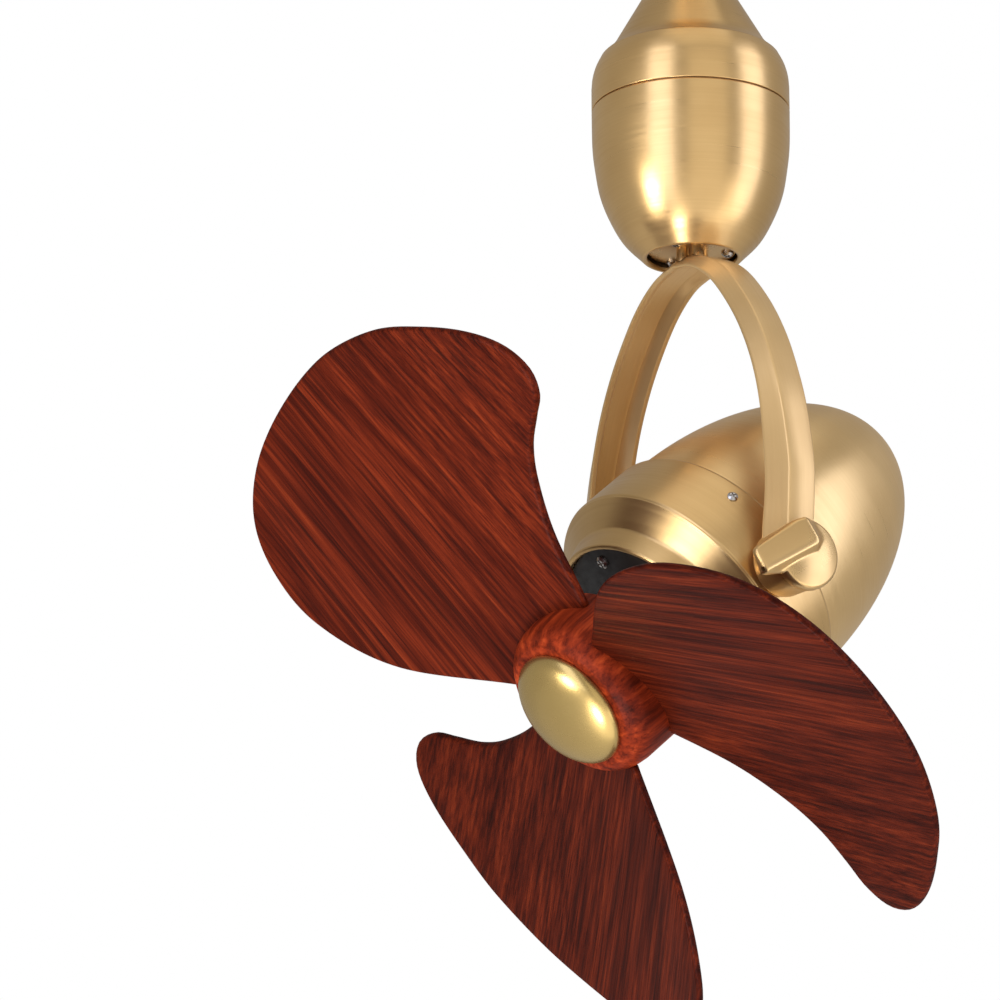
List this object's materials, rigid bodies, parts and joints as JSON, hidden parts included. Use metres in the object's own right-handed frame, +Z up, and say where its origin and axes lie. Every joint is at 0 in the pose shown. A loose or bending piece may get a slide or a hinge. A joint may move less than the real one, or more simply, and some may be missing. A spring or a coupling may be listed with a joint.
{
  "type": "directional ceiling fan",
  "caption": "Ceiling fan with a short down rod and an arched yoke that turns, a tilting bullet-shaped motor head in satin brass, and broad wooden propeller blades.",
  "frame": {"origin": "centre of the two ceiling screws, on the ceiling face and on the down rod's axis", "axes": "+Z up along the down rod; the head looks along -Y at rest, tilted down; +X along the head's pivot axis"},
  "size_m": [0.3794, 0.3032, 0.6928],
  "materials": {
    "satin_brass": "satin, brushed",
    "cap_brass": "satin",
    "mahogany": "dark mahogany, satin lacquer",
    "black_plate": "satin black",
    "steel": "zinc plated",
    "lamination": "stacked sheet",
    "copper": "enamelled copper and bronze",
    "nylon": "natural",
    "cast_aluminium": "as cast"
  },
  "bodies": {
    "mount": {"mounting_plate": "steel", "canopy": "satin_brass", "canopy_screws": "satin_brass", "downrod": "satin_brass", "rod_pins": "steel", "hanger_collar": "steel", "collar_screws": "steel", "upper_housing": "satin_brass", "lower_cup": "satin_brass", "cone_cover": "satin_brass", "cone_set_screw": "steel", "chassis": "steel", "yaw_motor": "steel", "bearing_plate": "steel", "spacer_posts": "steel", "shaft_bushes": "copper", "brush_holder": "nylon", "supply_terminal": "nylon"},
    "pinion": {"yaw_pinion": "steel"},
    "yoke": {"output_gear": "nylon", "output_shaft": "steel", "shaft_circlip": "steel", "slip_ring": "nylon", "output_flange": "satin_brass", "flange_screws": "steel", "yoke_arch": "satin_brass", "crown_posts": "satin_brass", "yoke_bushes": "nylon"},
    "head": {"barrel": "satin_brass", "barrel_screws": "steel", "pivot_studs": "steel", "pivot_collars": "satin_brass", "front_bezel": "satin_brass", "front_plate": "black_plate", "front_plate_screws": "steel", "rear_shell": "satin_brass", "stator_core": "lamination", "windings": "copper", "rear_bracket": "cast_aluminium", "front_bearing": "steel", "rear_bearing": "steel", "run_capacitor": "nylon"},
    "rotor": {"rotor_core": "lamination", "motor_shaft": "steel", "blade_1": "mahogany", "blade_2": "mahogany", "blade_3": "mahogany", "blade_pins": "steel", "hub": "mahogany", "hub_bush": "cast_aluminium", "hub_nut": "steel", "spinner_cap": "cap_brass"},
    "knob_right": {"knob_right": "satin_brass", "knob_right_grub_screw": "steel"},
    "knob_left": {"knob_left": "satin_brass", "knob_left_grub_screw": "steel"}
  },
  "joints": [
    {"name": "yoke_yaw", "type": "hinge", "parent": "mount", "child": "yoke", "pos_m": [0, 0, 0], "axis": [0, 0, 1], "continuous": true},
    {"name": "pinion_spin", "type": "hinge", "parent": "mount", "child": "pinion", "pos_m": [0.02805, 0, -0.25], "axis": [0, 0, 1], "continuous": true},
    {"name": "head_tilt", "type": "hinge", "parent": "yoke", "child": "head", "pos_m": [0, 0, -0.4935], "axis": [1, 0, 0], "range_deg": [-41.5, 138.5]},
    {"name": "blade_spin", "type": "hinge", "parent": "head", "child": "rotor", "pos_m": [0, 0, -0.4935], "axis": [0, -0.749, -0.6626], "continuous": true},
    {"name": "knob_right_turn", "type": "hinge", "parent": "head", "child": "knob_right", "pos_m": [0.0878, 0, -0.4935], "axis": [1, 0, 0], "range_deg": [0, 180]},
    {"name": "knob_left_turn", "type": "hinge", "parent": "head", "child": "knob_left", "pos_m": [-0.0878, 0, -0.4935], "axis": [-1, 0, 0], "range_deg": [0, 180]}
  ],
  "couplings": [
    {"joint": "pinion_spin", "follows": "yoke_yaw", "ratio": -3.6667}
  ]
}
